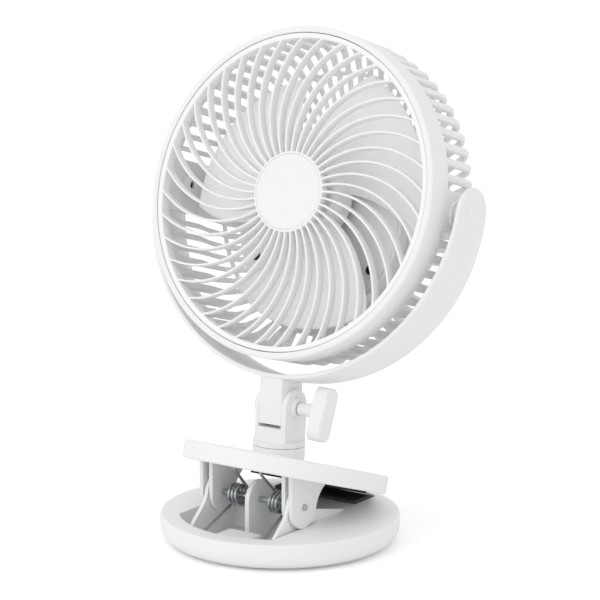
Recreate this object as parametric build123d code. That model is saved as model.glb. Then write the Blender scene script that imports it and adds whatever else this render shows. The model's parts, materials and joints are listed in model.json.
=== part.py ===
"""A clip-on desk fan: a sprung round clip, a swivelling and tilting neck, a half-ring yoke and a
rechargeable fan head. Millimetres, +Z up, front towards -Y, origin under the middle of the base.

Four working frames follow the real tilts: the upper clip plate, the neck, the yoke and the head.
Every part is drawn upright in its own frame and then leaned with it.
"""
import os
from math import atan2, cos, degrees, hypot, pi, radians, sin, sqrt, tan

from build123d import *

os.makedirs("parts", exist_ok=True)

# ---- driving dimensions -------------------------------------------------------------------------
base_radius = 74.6
base_top = 17.8
base_lower_round = 9.8
base_upper_round = 1.5
foot_height = 1.0
grip_radius, grip_sink = 58.0, 0.6      # round pad under the base
cover_top = 3.4
skin = 2.4                      # usual moulded wall
pocket_radius = 63.0            # the pocket's front wall follows the rim
pocket_left, pocket_right, pocket_back = -46.5, 33.2, -8.0
pocket_floor = 5.0

pin_y, pin_z = -23.6, 31.0
pin_radius = 1.9
pin_half_length = 36.4
running_gap = 0.05              # radial, shaft in hole

lower_cheek_inner, lower_cheek_outer = 29.2, 31.6
outer_cheek_inner, outer_cheek_outer = 32.2, 34.8
inner_cheek_inner, inner_cheek_outer = 26.0, 28.6
lower_cheek_radius, outer_cheek_radius, inner_cheek_radius = 12.3, 13.1, 11.5

plate_radius = 64.3
plate_height = 11.5
plate_lean = 18.2
plate_y, plate_z = 3.9, 39.2    # middle of the plate's underside
under_plate_height = 2.6

pad_half_width = 30.9
pad_front, pad_back = 37.4, 62.5
pad_top = 20.0
upper_pad_height = 2.0

wire = 1.8
coil_radius = 6.1
coil_pitch = 2.5
coil_reach = 19.4               # the lower leg's distance from the middle
lower_leg_angle, upper_leg_angle = 293.0, 45.0      # from +Y, where the legs leave the coil
coil_turns = 4 + (upper_leg_angle - lower_leg_angle) / 360

neck_y, neck_z = 0.5, 84.7      # tilt axis of the neck
neck_lean = 4.0
collar_radius = 16.2
collar_seam = -24.2             # below the tilt axis, along the neck
fork_left, fork_right = -10.9, 12.0    # outer faces of the ears
fork_gap = 8.35                 # half the space between them
fork_half_depth = 11.0
ear_round = 11.2
web_drop = 12.5
stud_radius = 2.5
boss_height, nut_boss = 2.4, 4.0
knob_start, knob_bar, knob_end = 14.6, 27.0, 36.4
knob_drop = 1.2                 # middle of the knob's bar below the screw

yoke_lean = 16.0
yoke_reach = 129.5              # neck axis to head axis
yoke_outer = 113.5
yoke_inner = 110.6
yoke_shift = 1.3                # the band's middle behind the pivots
yoke_half_width = 17.7
yoke_end_radius = 16.2
stem_half_width = 8.2
stem_half_depth = 11.0
stem_foot = 11.2                # flat foot of the stem below the tilt axis
boss_face = 106.0

housing_radius = 102.6
housing_front, housing_back = -31.0, 23.0
housing_corner = 8.0
housing_wall = 2.2
seam_radius = 98.6
rear_rib_count = 64
rear_rib_phase = 0.936          # of one pitch
rear_ring_inner, rear_ring_outer = 81.6, 84.0
slot_front = -12.0
pivot_patch = 8.5               # degrees without slots each side of a pivot

grille_ring_inner, grille_ring_outer = 94.9, 98.3
grille_front, grille_back = -29.0, -22.0
grille_rib_count = 40
grille_rib_thickness = 1.3
grille_rib_front, grille_rib_back = -29.5, -23.5
grille_rib_points = ((24.0, -3.6), (60.0, -13.4), (95.6, -31.4))
grille_hub_radius = 24.9

pod_radius = 60.0
pod_drop = 14.0                 # pod centre below the fan axis
pod_front, pod_back = 10.0, 46.0

blade_count = 3
blade_root, blade_tip = 24.0, 86.0
blade_thickness = 1.6
hub_radius = 25.0
hub_front, hub_back = -16.0, 5.0

bottom = (Align.CENTER, Align.CENTER, Align.MIN)
plate_frame = Location((0, plate_y, plate_z), (-plate_lean, 0, 0))
neck_frame = Location((0, neck_y, neck_z), (-neck_lean, 0, 0))
head_y = neck_y + yoke_reach * sin(radians(yoke_lean))
head_z = neck_z + yoke_reach * cos(radians(yoke_lean))
head_frame = Location((0, head_y, head_z), (-yoke_lean, 0, 0))


# ---- drawing helpers ----------------------------------------------------------------------------
def post(radius, low, high, hole=0.0):
    """A round bar along Z, bored if a hole radius is given."""
    bar = Pos(0, 0, low) * Cylinder(radius, high - low, align=bottom)
    if hole:
        bar -= Pos(0, 0, low - 1) * Cylinder(hole, high - low + 2, align=bottom)
    return bar


def drum(radius, front, back, hole=0.0):
    """The same bar along Y."""
    return Rot(-90, 0, 0) * post(radius, front, back, hole)


def axle(radius, left, right, hole=0.0):
    """The same bar along X."""
    return Rot(0, 90, 0) * post(radius, left, right, hole)


def side_plate(face, left, right):
    """A face drawn as (y, z) becomes a plate from x = left to x = right."""
    return extrude(Plane.YZ.offset(left) * face, right - left)


def front_plate(face, front, back):
    """A face drawn as (x, z) becomes a plate from y = front to y = back."""
    return extrude(Plane.XZ.offset(-back) * face, back - front)


def ring_turn(shape, count, phase=0.0):
    """Copies of a shape round the Y axis, counter-clockwise as seen from the front."""
    return [Rot(0, -(index + phase) * 360 / count, 0) * shape for index in range(count)]


def about_pin(radius, angle):
    """The point (y, z) at an angle from +Y on a circle round the hinge pin."""
    return (pin_y + radius * cos(radians(angle)), pin_z + radius * sin(radians(angle)))


def under_plate_z(y, depth=0.0):
    """Height of the clip plate's underside at y, or of a plane a little inside it."""
    lean = radians(plate_lean)
    return plate_z - (y - plate_y) * tan(lean) + depth / cos(lean)


def save(name, shape):
    """Writes one node and says how much material it holds."""
    export_step(shape, f"parts/{name}.step")
    print(f"{name}: {shape.volume / 1000:.2f} cm3")


# ---- base ---------------------------------------------------------------------------------------
def pocket_block(grow, low, high):
    """The pocket's space: a slice of a disc, cut square at its sides and back."""
    width = pocket_right - pocket_left + 2 * grow
    depth = pocket_radius + grow + 10
    middle = (pocket_left + pocket_right) / 2
    slab = Pos(middle, pocket_back + grow - depth / 2, low) * Box(width, depth, high - low, align=bottom)
    return slab & post(pocket_radius + grow, low, high)


def lower_cheek_face():
    """Hinge cheek of the base: swept-up front edge, round head, long straight tail."""
    front_top = about_pin(lower_cheek_radius, 165)
    head_top = about_pin(lower_cheek_radius, 90)
    rear_top = about_pin(lower_cheek_radius, -20)
    tail = (25.5, base_top)
    low, shelf = pocket_floor - 1, base_top - 1
    return make_face([
        Line((-53.6, low), (-53.6, 6)),
        Spline((-53.6, 6), (-51, 15), (-40, 25.2), front_top),
        ThreePointArc(front_top, head_top, rear_top),
        Line(rear_top, tail),
        Line(tail, (25.5, shelf)),
        Line((25.5, shelf), (pocket_back, shelf)),
        Line((pocket_back, shelf), (pocket_back, low)),
        Line((pocket_back, low), (-53.6, low)),
    ])


def middle_tab_face():
    """The tab between the springs: straight sides and a round head about the pin."""
    radius = 12.0
    left, right = about_pin(radius, 180), about_pin(radius, 0)
    top = about_pin(radius, 90)
    low = pocket_floor - 1
    return make_face([
        Line((left[0], low), left),
        ThreePointArc(left, top, right),
        Line(right, (right[0], low)),
        Line((right[0], low), (left[0], low)),
    ])


def screw_post_spots():
    """Where the bottom cover is screwed to the base, clear of the pocket."""
    return [(-54, 2), (54, 2), (-20, 50), (20, 50)]


def base_shell():
    shell = post(base_radius, foot_height, base_top)
    shell = fillet(shell.edges().group_by(Axis.Z)[0], base_lower_round)
    shell = fillet(shell.edges().group_by(Axis.Z)[-1], base_upper_round)
    inside = post(base_radius - base_lower_round - 2, 0, base_top - skin)
    inside -= pocket_block(skin, pocket_floor - skin / 2, base_top)
    shell -= inside
    shell -= pocket_block(0, pocket_floor, base_top + 1)
    land = Pos(7.05, -46, pocket_floor - 1) * Box(
        22.9, 40, base_top - 1.2 - pocket_floor + 1, align=(Align.CENTER, Align.MAX, Align.MIN))
    shell += land & post(pocket_radius + 1, 0, base_top)
    for x in (-41.0, -36.5):
        rib = Pos(x, -50, pocket_floor - 1) * Box(1.2, 40, 4, align=bottom)
        shell += rib & post(pocket_radius + 1, 0, base_top)
    for side in (-1, 1):
        near, far = sorted((side * lower_cheek_inner, side * lower_cheek_outer))
        shell += side_plate(lower_cheek_face(), near, far)
    shell += side_plate(middle_tab_face(), -1, 2)
    for x, y in screw_post_spots():
        shell += Pos(x, y, 0) * post(3.6, cover_top, base_top - 1)
        shell -= Pos(x, y, 0) * post(1.28, 0, 12)
    recess = Pos(0, pad_front, pad_top - 4) * Box(
        2 * pad_half_width + 0.2, 30, 5, align=(Align.CENTER, Align.MIN, Align.MIN))
    shell -= recess & post(base_radius - 6, 0, 40)
    shell -= axle(pin_radius, -40, 40).moved(Location((0, pin_y, pin_z)))
    return shell


def base_cover():
    """Round bottom plate. The grip pad is sunk into its underside and hides the screws."""
    cover = post(base_radius - base_lower_round - 2.15, foot_height, cover_top)
    cover -= post(grip_radius + 0.15, 0, foot_height + grip_sink)
    for x, y in screw_post_spots():
        cover -= Pos(x, y, 0) * post(1.5, 0, cover_top + 1)
        cover -= Pos(x, y, 0) * post(3.1, 0, foot_height + grip_sink + 1)
    return cover


def base_cover_screws():
    seat = foot_height + grip_sink
    screws = [Pos(x, y, 0) * (post(2.9, seat, seat + 1) + post(1.25, seat + 1, 10.5))
              for x, y in screw_post_spots()]
    return Compound(screws)


def foot_pads():
    """One round non-slip pad, proud of the base all round."""
    pad = post(grip_radius, 0, foot_height + grip_sink)
    return chamfer(pad.edges().group_by(Axis.Z)[0], 0.4)


def lower_jaw_pad():
    """Flat pad whose back slopes away under the closed upper jaw."""
    low = pad_top - 4
    slope_start = 54.0
    drop = (pad_back - slope_start) * tan(radians(plate_lean))
    face = make_face(Polyline(
        (pad_front, low), (pad_front, pad_top), (slope_start, pad_top),
        (pad_back, pad_top - drop), (pad_back, low), close=True))
    pad = side_plate(face, -pad_half_width, pad_half_width)
    return pad & post(base_radius - 6.2, 0, 40)


def hinge_pin():
    pin = axle(pin_radius, -pin_half_length, pin_half_length)
    pin = chamfer(pin.edges(), 0.4)
    return pin.moved(Location((0, pin_y, pin_z)))


# ---- springs ------------------------------------------------------------------------------------
def bend(start, corner, end):
    """The arc from start to end that leaves along start-corner and arrives along corner-end."""
    middle = (start + end) / 2
    half = (end - start).length / 2
    slope = (corner - start).get_angle(end - start)
    rise = half * tan(radians(slope) / 2)
    return ThreePointArc(start, middle + (corner - middle).normalized() * rise, end)


def biarc(start, start_way, end, end_way):
    """Two equal-reach arcs that join two points smoothly."""
    gap = end - start
    ways = start_way + end_way
    a = 2 * (start_way.dot(end_way) - 1)
    b = -2 * gap.dot(ways)
    c = gap.dot(gap)
    reach = -c / b if abs(a) < 1e-9 else (-b - sqrt(b * b - 4 * a * c)) / (2 * a)
    reach = abs(reach)
    first = start + start_way * reach
    second = end - end_way * reach
    joint = (first + second) / 2
    return [bend(start, first, joint), bend(joint, second, end)]


def coil_point(x0, turn):
    """A point of the winding and its direction, both after that many turns from the lower leg."""
    angle = radians(lower_leg_angle) + 2 * pi * turn
    point = Vector(x0 + coil_pitch * turn, pin_y + coil_radius * cos(angle), pin_z + coil_radius * sin(angle))
    way = Vector(coil_pitch / (2 * pi), -coil_radius * sin(angle), coil_radius * cos(angle)).normalized()
    return point, way


def spring_path(x0):
    """Lower leg, coil and upper leg. The leg ends turn square to the pocket floor and the plate."""
    first, first_way = coil_point(x0, 0)
    last, last_way = coil_point(x0, coil_turns)
    # lower leg, drawn from the floor up to the coil
    foot_bend = Vector(first.X, -54.5, 0)
    leg_run = (first.Y - foot_bend.Y) / first_way.Y
    knee = first - first_way * leg_run
    foot_end = Vector(knee.X, knee.Y, pocket_floor)
    down = Vector(0, 0, -1)
    small = 3.0                 # reach of the two leg bends
    edges = [Line(foot_end, knee + down * small),
             bend(knee + down * small, knee, knee + first_way * small),
             Line(knee + first_way * small, first)]
    # winding
    steps = round(coil_turns * 4)
    for index in range(steps):
        here, here_way = coil_point(x0, coil_turns * index / steps)
        there, there_way = coil_point(x0, coil_turns * (index + 1) / steps)
        edges += biarc(here, here_way, there, there_way)
    # upper leg, to the plate
    lean = radians(plate_lean)
    square = Vector(0, sin(lean), cos(lean))
    run = 22.0
    elbow = last + last_way * run
    lift = square * ((under_plate_z(elbow.Y) - elbow.Z) * cos(lean) - 0.05)
    edges += [Line(last, elbow - last_way * small),
              bend(elbow - last_way * small, elbow, elbow + square * small),
              Line(elbow + square * small, elbow + lift)]
    return edges


def torsion_spring(side):
    """One unbroken wire. The right spring is the left one mirrored."""
    path = Wire(spring_path(-coil_reach))
    if side > 0:
        path = path.mirror(Plane.YZ)
    start = path.position_at(0)
    section = Plane(start, z_dir=path.tangent_at(0)) * Circle(wire / 2)
    points = [path.position_at(index / 1500) for index in range(1501)]
    print(f"spring wire {path.length:.1f} mm, least gap to itself {least_gap(points, path.length):.2f} mm")
    return sweep(section, path=path)


def least_gap(points, length):
    """Smallest distance between two stretches of the wire that are over four diameters apart."""
    step = length / (len(points) - 1)
    apart = int(4 * wire / step)
    best = length
    for index in range(0, len(points) - apart, 3):
        for other in range(index + apart, len(points), 3):
            best = min(best, (points[index] - points[other]).length)
    return best - wire


# ---- upper half of the clip ---------------------------------------------------------------------
def plate_screw_spots():
    return [(x, y) for x in (-40, 40) for y in (-34, 34)]


def clip_plate():
    """Shallow round cover, with the fixed collar of the swivel standing on it."""
    plate = post(plate_radius, 0, plate_height)
    plate = fillet(plate.edges().group_by(Axis.Z)[-1], 2.0)
    plate = fillet(plate.edges().group_by(Axis.Z)[0], 1.2)
    plate -= post(plate_radius - 3.2, -1, plate_height - skin)
    for x, y in plate_screw_spots():
        plate += Pos(x, y, 0) * post(3.6, under_plate_height, plate_height - 1)
        plate -= Pos(x, y, 0) * post(1.28, 0, 9)
    plate = plate_frame * plate
    collar = neck_frame * post(collar_radius, collar_seam - 20, collar_seam - 0.3)
    collar -= plate_frame * post(60, -30, 5)
    plate += collar
    plate += neck_frame * (post(collar_radius - 1.4, collar_seam - 1, collar_seam))
    plate -= neck_frame * post(8.05, collar_seam - 40, collar_seam + 1)
    plate -= neck_frame * post(12.8, collar_seam - 22, collar_seam - 7)
    return plate


def upper_cheek_face(radius, front, rear_foot):
    """Hinge cheek of the upper half: round about the pin, hollowed behind where it meets the plate."""
    left = about_pin(radius, 180)
    low = about_pin(radius, -90)
    right = about_pin(radius, -12)
    depth = under_plate_height / 2
    front_top = (front, under_plate_z(front, depth))
    rear_top = (rear_foot, under_plate_z(rear_foot, depth))
    return make_face([
        Line(front_top, left),
        ThreePointArc(left, low, right),
        Spline(right, (right[0] + 3.0, right[1] + 6.5), (rear_foot, under_plate_z(rear_foot))),
        Line((rear_foot, under_plate_z(rear_foot)), rear_top),
        Line(rear_top, front_top),
    ])


def clip_under_plate():
    """Inner plate of the upper half. It carries the four cheeks that turn on the pin."""
    plate = post(plate_radius - 3.4, 0, under_plate_height)
    for x, y in plate_screw_spots():
        plate -= Pos(x, y, 0) * post(1.5, -1, 4)
        plate -= Pos(x, y, 0) * post(3.1, -1, 1.4)
    plate = plate_frame * plate
    for side in (-1, 1):
        near, far = sorted((side * outer_cheek_inner, side * outer_cheek_outer))
        plate += side_plate(upper_cheek_face(outer_cheek_radius, pin_y - outer_cheek_radius, -0.4), near, far)
        near, far = sorted((side * inner_cheek_inner, side * inner_cheek_outer))
        plate += side_plate(upper_cheek_face(inner_cheek_radius, pin_y - inner_cheek_radius, -2.4), near, far)
    plate -= axle(pin_radius + running_gap, -40, 40).moved(Location((0, pin_y, pin_z)))
    return plate


def clip_plate_screws():
    screw = post(2.9, 0.4, 1.4) + post(1.25, 1.4, 8.6)
    return Compound([plate_frame * Pos(x, y, 0) * screw for x, y in plate_screw_spots()])


def upper_jaw_pad():
    """Thin pad stuck under the plate, rounded at its rear end with the plate."""
    front, back = 8.0, plate_radius - 5
    pad = Pos(0, (front + back) / 2, -upper_pad_height) * Box(
        2 * pad_half_width, back - front, upper_pad_height, align=bottom)
    pad &= post(plate_radius - 5.5, -upper_pad_height, 0)
    return plate_frame * pad


# ---- neck ---------------------------------------------------------------------------------------
def neck_fork():
    """Round foot that turns on the collar, and a fork for the yoke's stem."""
    fork = post(collar_radius, collar_seam + 0.05, collar_seam + 3.2)
    fork += post(8.0, collar_seam - 7.0, collar_seam + 1)
    middle = (fork_left + fork_right) / 2
    fork += Pos(middle, 0, collar_seam + 3) * Box(
        fork_right - fork_left, 2 * fork_half_depth, -web_drop - collar_seam - 3, align=bottom)
    for near, far in ((fork_left, -fork_gap), (fork_gap, fork_right)):
        ear = Pos((near + far) / 2, 0, collar_seam + 3) * Box(
            far - near, 2 * fork_half_depth, -collar_seam - 3, align=bottom)
        fork += ear + axle(ear_round, near, far)
    fork += axle(6.4, fork_right - 1, fork_right + boss_height)
    fork += axle(7.0, fork_left - nut_boss, fork_left + 1)
    fork -= axle(stud_radius + 0.2, -30, 30)
    fork -= axle(4.0, fork_right + 0.6, fork_right + 5)
    fork -= axle(4.75, fork_left - 5, fork_left - 0.8)
    fork -= post(1.7, collar_seam - 8, -web_drop - 3)
    return neck_frame * fork


def clamp_nut():
    nut = extrude(Plane.YZ.offset(fork_left - nut_boss) * RegularPolygon(4.0, 6, major_radius=False), 3.2)
    return neck_frame * (nut - axle(stud_radius + running_gap, -30, 30))


def swivel_washer():
    return neck_frame * post(12.0, collar_seam - 8.0, collar_seam - 7.0, 1.8)


def swivel_screw():
    screw = post(3.6, collar_seam - 10.4, collar_seam - 8.0) + post(1.65, collar_seam - 8.0, -web_drop - 3.5)
    return neck_frame * screw


# ---- thumb screw --------------------------------------------------------------------------------
def thumb_knob():
    """A flared neck and a rounded bar to turn it by."""
    tilt = 18
    reach = knob_bar - knob_start
    flare = make_face([
        Line((knob_start, 0), (knob_start, 3.8)),
        Spline((knob_start, 3.8), (knob_start + 0.45 * reach, 4.1), (knob_start + 0.8 * reach, 5.0),
               (knob_bar + 0.6, 6.6)),
        Line((knob_bar + 0.6, 6.6), (knob_bar + 0.6, 0)),
        Line((knob_bar + 0.6, 0), (knob_start, 0)),
    ])
    neck = revolve(flare, Axis.X, 360)
    bar = extrude(Plane.YZ.offset(knob_bar) * Pos(0, -knob_drop) * RectangleRounded(13.4, 33.4, 5.5),
                  knob_end - knob_bar)
    bar = fillet(bar.edges().filter_by(Plane.YZ).group_by(Axis.X)[-1], 1.2)
    knob = neck + bar - axle(stud_radius, 0, knob_end - 3)
    return neck_frame * (Rot(-tilt, 0, 0) * knob)


def thumb_stud():
    return neck_frame * axle(stud_radius, fork_left - nut_boss + 0.2, knob_end - 3)


# ---- yoke ---------------------------------------------------------------------------------------
def yoke_side_face():
    """The yoke seen from its side: straight band below, narrowing to a round end at the pivots."""
    reach = 45.0
    turn = atan2(yoke_half_width - yoke_end_radius, reach)
    start = (yoke_end_radius * cos(turn), yoke_end_radius * sin(-turn))
    low = -yoke_outer - 5
    right = (start[0], start[1] + 0.9)
    left = (-right[0], right[1])
    return make_face([
        Line((yoke_half_width, low), (yoke_half_width, -reach)),
        Line((yoke_half_width, -reach), right),
        ThreePointArc(right, (0, yoke_end_radius + 0.9), left),
        Line(left, (-yoke_half_width, -reach)),
        Line((-yoke_half_width, -reach), (-yoke_half_width, low)),
        Line((-yoke_half_width, low), (yoke_half_width, low)),
    ])


def half_hoop(radius, front, back, top):
    """A solid half drum with straight sides above its axis."""
    half = drum(radius, front, back) & Pos(0, 0, -radius) * Box(
        4 * radius, 4 * radius, 2 * radius)
    upper = Pos(0, (front + back) / 2, 0) * Box(2 * radius, back - front, top, align=bottom)
    return half + upper


def yoke_stem():
    """The tongue in the fork: flat in front down to its foot, rounded about the tilt axis behind."""
    stem = Box(2 * stem_half_width, 2 * stem_half_depth, 20, align=bottom)
    stem += axle(stem_half_depth, -stem_half_width, stem_half_width)
    front = Pos(0, -stem_half_depth / 2, -stem_foot) * Box(
        2 * stem_half_width, stem_half_depth, stem_foot + 1, align=bottom)
    front = fillet(front.edges().filter_by(Axis.X).sort_by(lambda e: e.center().Y + e.center().Z)[:1], 1.2)
    return stem + front - axle(stud_radius + 0.25, -20, 20)


def yoke():
    band = half_hoop(yoke_outer, -40, 40, 30) - half_hoop(yoke_inner, -50, 50, 60)
    band &= side_plate(Pos(yoke_shift, 0) * yoke_side_face(), -yoke_outer - 1, yoke_outer + 1)
    whole = head_frame * band + (neck_frame * yoke_stem() - head_frame * drum(yoke_inner + 1, -50, 50))
    whole += head_frame * axle(8.0, boss_face, yoke_inner + 1)
    whole += head_frame * axle(8.0, -yoke_inner - 1, -boss_face)
    whole -= head_frame * axle(2.55, -120, 120)
    for near, far in ((yoke_outer - 2.6, 120), (-120, -yoke_outer + 2.6)):
        whole -= head_frame * axle(5.0, near, far)
    for near, far in ((yoke_outer - 0.6, 120), (-120, -yoke_outer + 0.6)):
        whole -= head_frame * axle(6.5, near, far)
    return whole


def yoke_cap(side):
    cap = axle(6.4, yoke_outer - 0.6, yoke_outer + 0.6)
    cap = fillet(cap.edges().group_by(Axis.X)[-1], 0.5)
    return head_frame * (cap if side > 0 else cap.mirror(Plane.YZ))


# ---- head ---------------------------------------------------------------------------------------
def pivot_screw(side):
    screw = axle(4.5, yoke_outer - 2.5, yoke_outer - 0.7) + axle(2.5, 96, yoke_outer - 2.5)
    return head_frame * (screw if side > 0 else screw.mirror(Plane.YZ))


def friction_washer(side):
    washer = axle(7.5, 104.05, 105.9, 2.7)
    return head_frame * (washer if side > 0 else washer.mirror(Plane.YZ))


def swirl_band(points, half_width):
    """A thin curved strip (x, z) along the arc through three polar points (radius, degrees)."""
    a, b, c = [Vector(r * cos(radians(t)), r * sin(radians(t))) for r, t in points]
    centre = circle_centre(a, b, c)
    radius = (a - centre).length
    walls = []
    for reach in (radius - half_width, radius + half_width):
        walls.append([centre + (point - centre).normalized() * reach for point in (a, b, c)])
    near, far = walls
    return make_face([
        ThreePointArc(*near), Line(near[2], far[2]), ThreePointArc(*far), Line(far[0], near[0])])


def circle_centre(a, b, c):
    """Centre of the circle through three points of a plane."""
    d = 2 * (a.X * (b.Y - c.Y) + b.X * (c.Y - a.Y) + c.X * (a.Y - b.Y))
    squares = [point.X ** 2 + point.Y ** 2 for point in (a, b, c)]
    x = (squares[0] * (b.Y - c.Y) + squares[1] * (c.Y - a.Y) + squares[2] * (a.Y - b.Y)) / d
    y = (squares[0] * (c.X - b.X) + squares[1] * (a.X - c.X) + squares[2] * (b.X - a.X)) / d
    return Vector(x, y)


def front_grille():
    """Outer ring, centre boss and the swirl of curved ribs between them."""
    grille = drum(grille_ring_outer, grille_front, grille_back, grille_ring_inner)
    boss = drum(grille_hub_radius, grille_rib_front, grille_rib_back)
    boss -= drum(grille_hub_radius - 1.3, grille_rib_front - 1, grille_rib_front + 1.6)
    boss -= drum(grille_hub_radius - 2.6, grille_rib_front + 3.4, grille_rib_back + 1)
    strip = swirl_band(grille_rib_points, grille_rib_thickness / 2)
    rib = front_plate(strip, grille_rib_front + 0.1, grille_rib_back - 0.1)
    return head_frame * (grille + ring_turn(rib, grille_rib_count) + boss)


def grille_centre_disc():
    disc = drum(grille_hub_radius - 1.35, grille_rib_front, grille_rib_front + 1.6)
    return head_frame * disc


def slot_prism(inner, outer, inner_half, outer_half, front, back, swirl=4.0):
    """Cutter for one rear slot: a slightly turned wedge."""
    def spot(radius, across):
        turn = radians(swirl) * (radius - rear_ring_outer) / (housing_radius - rear_ring_outer)
        return (radius * cos(turn) - across * sin(turn), radius * sin(turn) + across * cos(turn))

    points = [spot(inner, -inner_half), spot(outer, -outer_half), spot(outer, outer_half),
              spot(inner, inner_half)]
    return front_plate(make_face(Polyline(*points, close=True)), front, back)


def pod_edge(angle):
    """Radius from the fan axis to the pod's outline, at an angle from +X."""
    slant = pod_drop * cos(radians(angle))
    return -pod_drop * sin(radians(angle)) + sqrt(pod_radius ** 2 - slant ** 2)


def rear_slots():
    """All slots of the rear cage: one ring over the corner, one ring round the pod."""
    pitch = 360 / rear_rib_count
    cutters = []
    for index in range(rear_rib_count):
        angle = (index + rear_rib_phase) * pitch
        from_pivot = abs((angle + 90) % 180 - 90)
        if from_pivot > pivot_patch:
            wedge = slot_prism(rear_ring_outer, 106, 2.35, 2.65, slot_front, housing_back + 5)
            cutters.append(Rot(0, -angle, 0) * wedge)
        inner = pod_edge(angle) + 3
        if rear_ring_inner - inner > 5:
            half = inner * 0.027
            wedge = slot_prism(inner, rear_ring_inner, half, 2.2, housing_back - 6, housing_back + 5)
            cutters.append(Rot(0, -angle, 0) * wedge)
    return cutters


def rear_housing():
    """Round band open to the front, slotted corner and back, and the tube of the rear pod."""
    r, back = housing_radius, housing_back
    inner, inside = r - housing_wall, back - housing_wall
    inner_corner = housing_corner - housing_wall
    profile = make_face([
        Line((seam_radius, -21.9), (seam_radius, -29.4)),
        ThreePointArc((seam_radius, -29.4), (99.1, -30.6), (100.3, housing_front)),
        ThreePointArc((100.3, housing_front), (101.9, -30.3), (r, -28.7)),
        Line((r, -28.7), (r, back - housing_corner)),
        ThreePointArc((r, back - housing_corner), corner_point(r, back, housing_corner),
                      (r - housing_corner, back)),
        Line((r - housing_corner, back), (0, back)),
        Line((0, back), (0, inside)),
        Line((0, inside), (inner - inner_corner, inside)),
        ThreePointArc((inner - inner_corner, inside), corner_point(inner, inside, inner_corner),
                      (inner, inside - inner_corner)),
        Line((inner, inside - inner_corner), (inner, -20)),
        Line((inner, -20), (96.4, -20)),
        Line((96.4, -20), (96.4, -21.9)),
        Line((96.4, -21.9), (seam_radius, -21.9)),
    ])
    housing = revolve(profile, Axis.Y, 360)
    pod_at = Location((0, 0, -pod_drop))
    housing -= drum(pod_radius - skin, 0, back + 1).moved(pod_at)
    housing -= rear_slots()
    housing += drum(pod_radius, pod_front, back, pod_radius - skin).moved(pod_at)
    for x, z in pod_screw_spots():
        housing += Pos(x, 0, z) * drum(4.2, 14, back)
    for side in (-1, 1):
        near, far = sorted((side * (r - 1.5), side * 104.0))
        housing += axle(8.0, near, far)
        near, far = sorted((side * 94.0, side * (r - 1)))
        housing += axle(7.0, near, far)
    housing -= axle(2.5, -120, -90) + axle(2.5, 90, 120)
    for x, z in pod_screw_spots():
        housing -= Pos(x, 0, z) * drum(1.28, 15, back + 1)
    return head_frame * housing


def corner_point(radius, back, corner):
    """Middle of a quarter-round corner."""
    cut = corner * (1 - cos(radians(45)))
    return (radius - cut, back - cut)


def pod_screw_spots():
    reach = pod_radius - 6.4
    return [(reach * cos(radians(a)), reach * sin(radians(a)) - pod_drop) for a in (35, 145, 215, 325)]


def motor_plate():
    """Front wall of the pod. Its tube holds the bearing and the stator."""
    plate = drum(pod_radius - skin - 0.1, pod_front, pod_front + skin).moved(Location((0, 0, -pod_drop)))
    plate += drum(5.6, -7, pod_front + 6)
    plate -= drum(4.0, -8, pod_front + 7)
    for x, z in motor_screw_spots():
        plate -= Pos(x, 0, z) * drum(1.5, pod_front - 3, pod_front + 4)
    return head_frame * plate


def motor_screw_spots():
    reach = 50.0
    return [(reach * cos(radians(a)), reach * sin(radians(a)) - pod_drop) for a in (90, 210, 330)]


def motor_plate_screws():
    screw = drum(2.9, pod_front - 1.6, pod_front) + drum(1.4, pod_front, pod_front + 8)
    return head_frame * Compound([Pos(x, 0, z) * screw for x, z in motor_screw_spots()])


def bearing_sleeve():
    return head_frame * drum(3.97, -6.8, pod_front + 6, 1.55)


def stator_core():
    """Stack of plates with nine winding arms."""
    core = drum(8.0, -6, 4, 5.63)
    arm = Pos(10.5, -1, 0) * Box(7.0, 10, 2.4)
    shoe = (drum(15.4, -6, 4, 13.6) & Pos(15, -1, 0) * Box(6, 12, 7.6))
    return head_frame * (core + ring_turn(arm, 9) + ring_turn(shoe, 9))


def stator_windings():
    """One coil round each arm of the stator."""
    coil = Pos(10.9, -1, 0) * Box(4.4, 12.4, 4.9)
    coil -= Pos(10.9, -1, 0) * Box(6, 10.04, 2.44)
    coil = fillet(coil.edges().filter_by(Axis.X).sort_by(lambda e: -hypot(e.center().Y + 1, e.center().Z))[:4], 1.0)
    return head_frame * Compound(ring_turn(coil, 9))


def rear_pod_cover():
    """Rounded rear cover with recessed screw heads and openings for button, lamp and charging socket."""
    depth = pod_back - housing_back
    cover = drum(pod_radius, housing_back, pod_back)
    cover = fillet(cover.edges().group_by(Axis.Y)[-1], 8)
    hollow = drum(pod_radius - skin, housing_back - 1, pod_back - skin)
    cover -= fillet(hollow.edges().group_by(Axis.Y)[-1], 6)
    cover = cover.moved(Location((0, 0, -pod_drop)))
    for x, z in pod_screw_spots():
        cover += Pos(x, 0, z) * drum(4.2, housing_back, pod_back - 2)
        cover -= Pos(x, 0, z) * drum(1.5, housing_back - 1, pod_back + 1)
        cover -= Pos(x, 0, z) * drum(3.1, pod_back - depth + 12, pod_back + 1)
    cover -= Pos(0, 0, button_z) * drum(button_radius + 0.15, pod_back - 5, pod_back + 1)
    cover -= Pos(0, 0, lamp_z) * drum(1.6, pod_back - 5, pod_back + 1)
    cover -= socket_block(9.1, 3.3, 12)
    return head_frame * cover


button_z, lamp_z, button_radius = -34.0, -50.0, 7.0
socket_y = 33.0


def socket_block(width, height, length):
    """A rounded bar through the underside of the pod, where the charging plug goes in."""
    low = -pod_drop - pod_radius
    face = Plane.XY.offset(low - 1) * Pos(0, socket_y) * RectangleRounded(width, height, height / 2 - 0.01)
    return extrude(face, length)


def pod_screws():
    seat = housing_back + 12
    screw = drum(2.9, seat, seat + 1.8) + drum(1.25, 17, seat)
    return head_frame * Compound([Pos(x, 0, z) * screw for x, z in pod_screw_spots()])


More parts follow.
